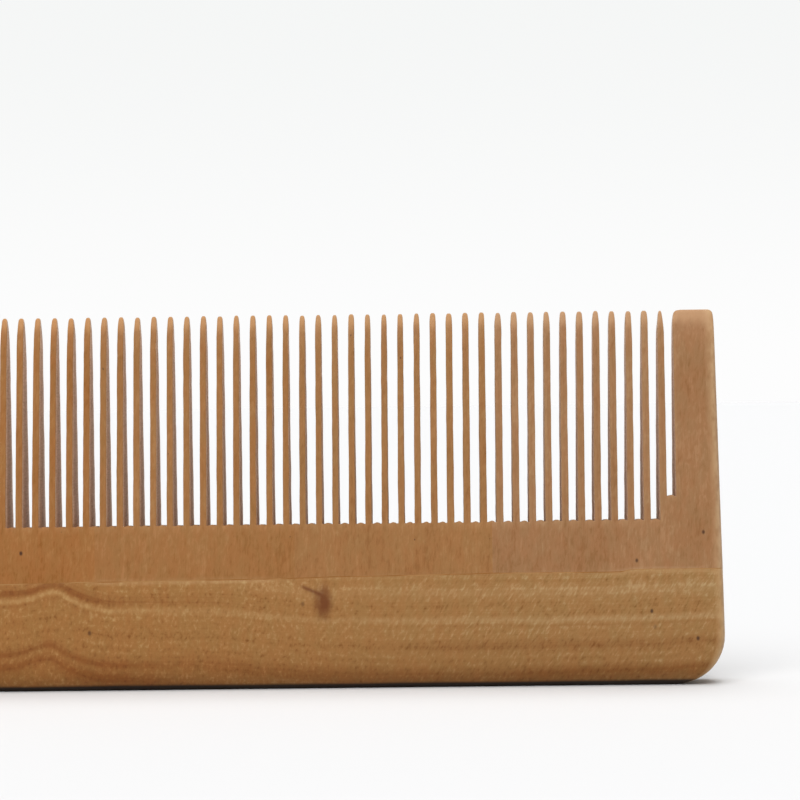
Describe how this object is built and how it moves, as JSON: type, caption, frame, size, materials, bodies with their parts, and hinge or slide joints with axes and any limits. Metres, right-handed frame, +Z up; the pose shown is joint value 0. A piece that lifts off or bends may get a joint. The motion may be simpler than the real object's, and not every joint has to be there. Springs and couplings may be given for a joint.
{
  "type": "beard comb",
  "caption": "Fine-tooth wooden beard comb: a long-grain spine with a cross-grain tooth board of glued staves and a guard at each end.",
  "frame": {"origin": "under the middle of the comb, on the plane of its foot", "axes": "+X along the comb's length, +Y through its thickness, +Z up from the foot to the tips of the teeth"},
  "size_m": [0.1242, 0.0084, 0.0477],
  "materials": {
    "spine_wood": "long-grain fruitwood, sanded and oiled to a satin",
    "stave_wood": "fruitwood with the grain up the teeth, sanded and oiled to a satin"
  },
  "bodies": {
    "root": {"spine": "spine_wood", "tooth_stave_1": "stave_wood", "tooth_stave_2": "stave_wood", "tooth_stave_3": "stave_wood", "tooth_stave_4": "stave_wood", "tooth_stave_5": "stave_wood"}
  },
  "joints": []
}
